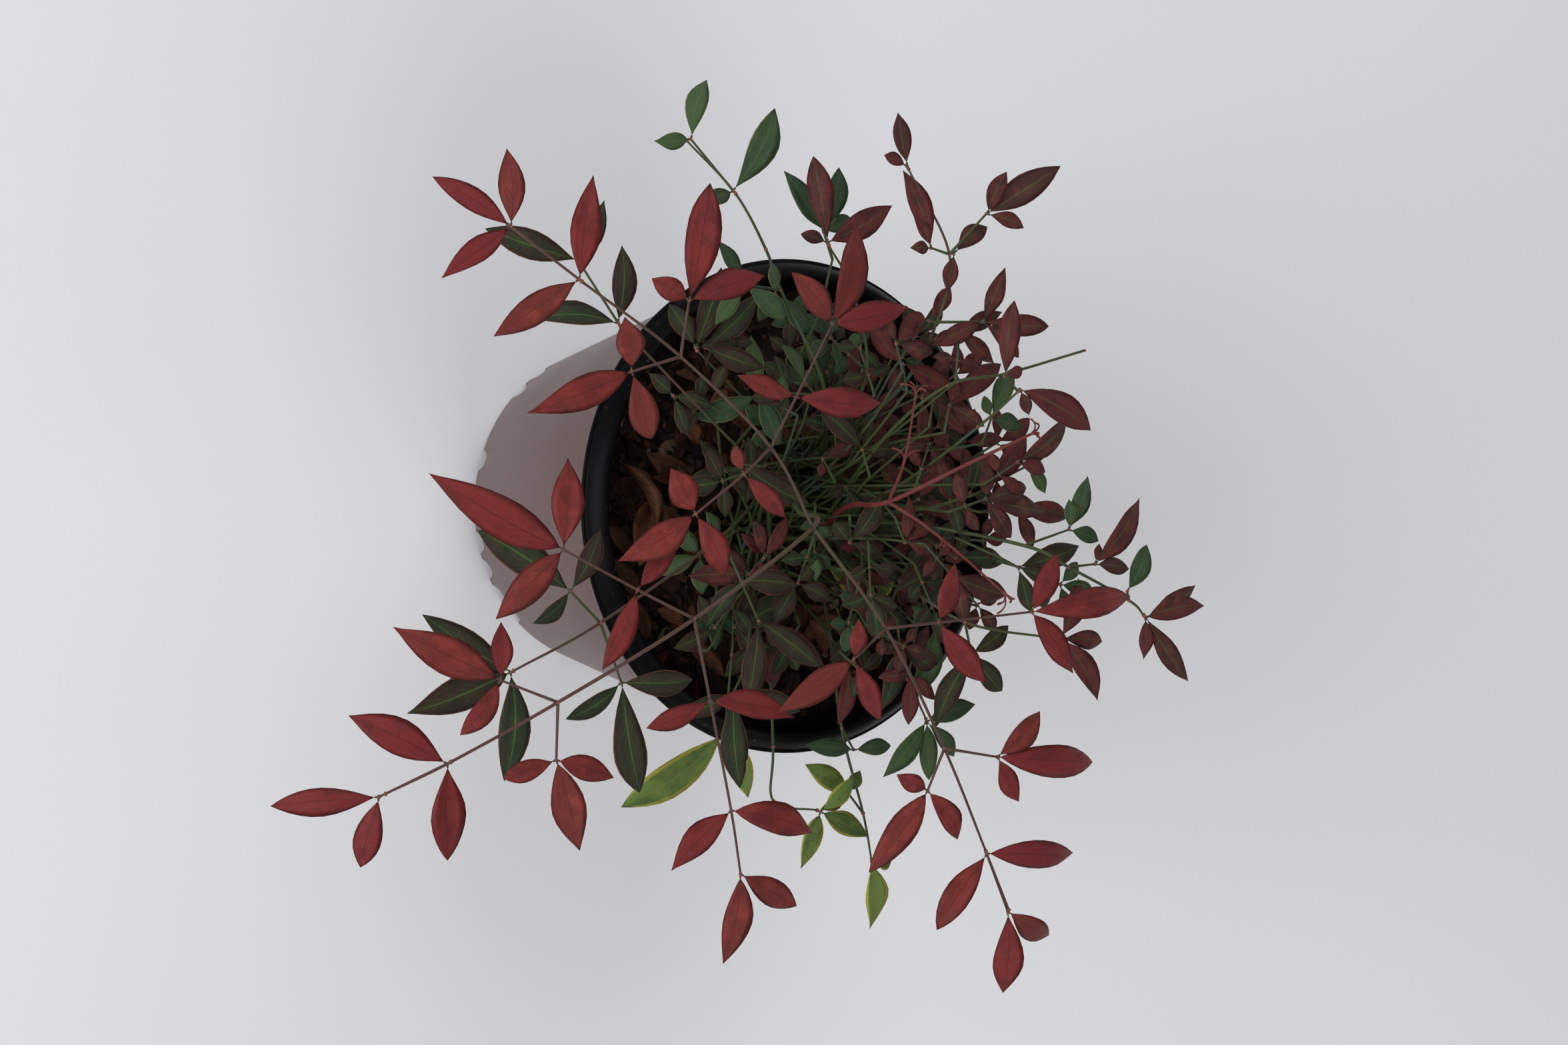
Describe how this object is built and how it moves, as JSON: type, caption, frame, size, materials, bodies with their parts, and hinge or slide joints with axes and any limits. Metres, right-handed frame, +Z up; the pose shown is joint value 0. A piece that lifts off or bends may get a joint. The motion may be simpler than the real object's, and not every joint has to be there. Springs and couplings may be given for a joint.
{
  "type": "potted heavenly bamboo shrub",
  "caption": "Young heavenly bamboo with red, burgundy and green leaflets on airy, twice-divided fronds, growing in a round black nursery pot; a decorative potted shrub.",
  "frame": {"origin": "centre of the pot's flat underside, on the surface it stands on", "axes": "+Z up the pot's axis; -Y to the side the top red frond leans to; +X to the side of the long low leaves"},
  "size_m": [0.2897, 0.3339, 0.2231],
  "materials": {
    "pot": "semi-gloss black moulded plastic",
    "soil": "dark damp bark mulch with dry leaf litter",
    "cane": "rough tan bark",
    "stalk": "smooth stalk, green turning brown mauve",
    "flower_stalk": "smooth coral red stalk",
    "red_leaf": "dull red leaf with a darker midrib",
    "dark_leaf": "burgundy leaf with green veins",
    "green_leaf": "green leaf with a pale margin"
  },
  "bodies": {
    "root": {"pot": "pot", "potting_soil": "soil", "cane_1": "cane", "cane_2": "cane", "cane_3": "cane", "top_frond_stalk": "stalk", "top_frond_right_rib": "stalk", "top_frond_left_rib": "stalk", "dark_frond_stalk": "stalk", "green_frond_stalk": "stalk", "middle_frond_stalk": "stalk", "back_left_stalk": "stalk", "back_stalk": "stalk", "right_frond_stalk": "stalk", "right_low_stalk": "stalk", "low_left_stalk": "stalk", "low_middle_stalk": "stalk", "low_right_stalk": "stalk", "front_low_stalk": "stalk", "under_left_stalk": "stalk", "inner_left_stalk": "stalk", "flower_stalk": "flower_stalk", "top_left_spray_1": "red_leaf", "top_left_spray_2": "red_leaf", "top_left_spray_3": "red_leaf", "top_left_spray_4": "red_leaf", "top_left_spray_5": "red_leaf", "top_front_spray_1": "red_leaf", "top_front_spray_2": "red_leaf", "top_front_spray_3": "red_leaf", "top_front_spray_4": "red_leaf", "top_front_spray_5": "red_leaf", "top_right_spray_1": "red_leaf", "top_right_spray_2": "red_leaf", "top_right_spray_3": "red_leaf", "top_right_spray_4": "red_leaf", "top_right_spray_5": "red_leaf", "dark_spray_1": "dark_leaf", "dark_spray_2": "dark_leaf", "dark_spray_3": "dark_leaf", "green_spray_1": "green_leaf", "green_spray_2": "green_leaf", "middle_spray": "green_leaf", "back_left_spray_1": "dark_leaf", "back_left_spray_2": "dark_leaf", "back_left_spray_3": "dark_leaf", "back_spray": "dark_leaf", "right_spray_1": "dark_leaf", "right_spray_2": "dark_leaf", "right_spray_3": "dark_leaf", "right_low_spray": "dark_leaf", "right_inner_spray": "dark_leaf", "low_spray_1": "green_leaf", "low_spray_2": "green_leaf", "low_spray_3": "green_leaf", "front_low_spray": "green_leaf", "under_left_spray": "green_leaf", "inner_left_spray": "green_leaf", "inner_back_spray": "green_leaf", "inner_front_spray": "green_leaf"}
  },
  "joints": []
}
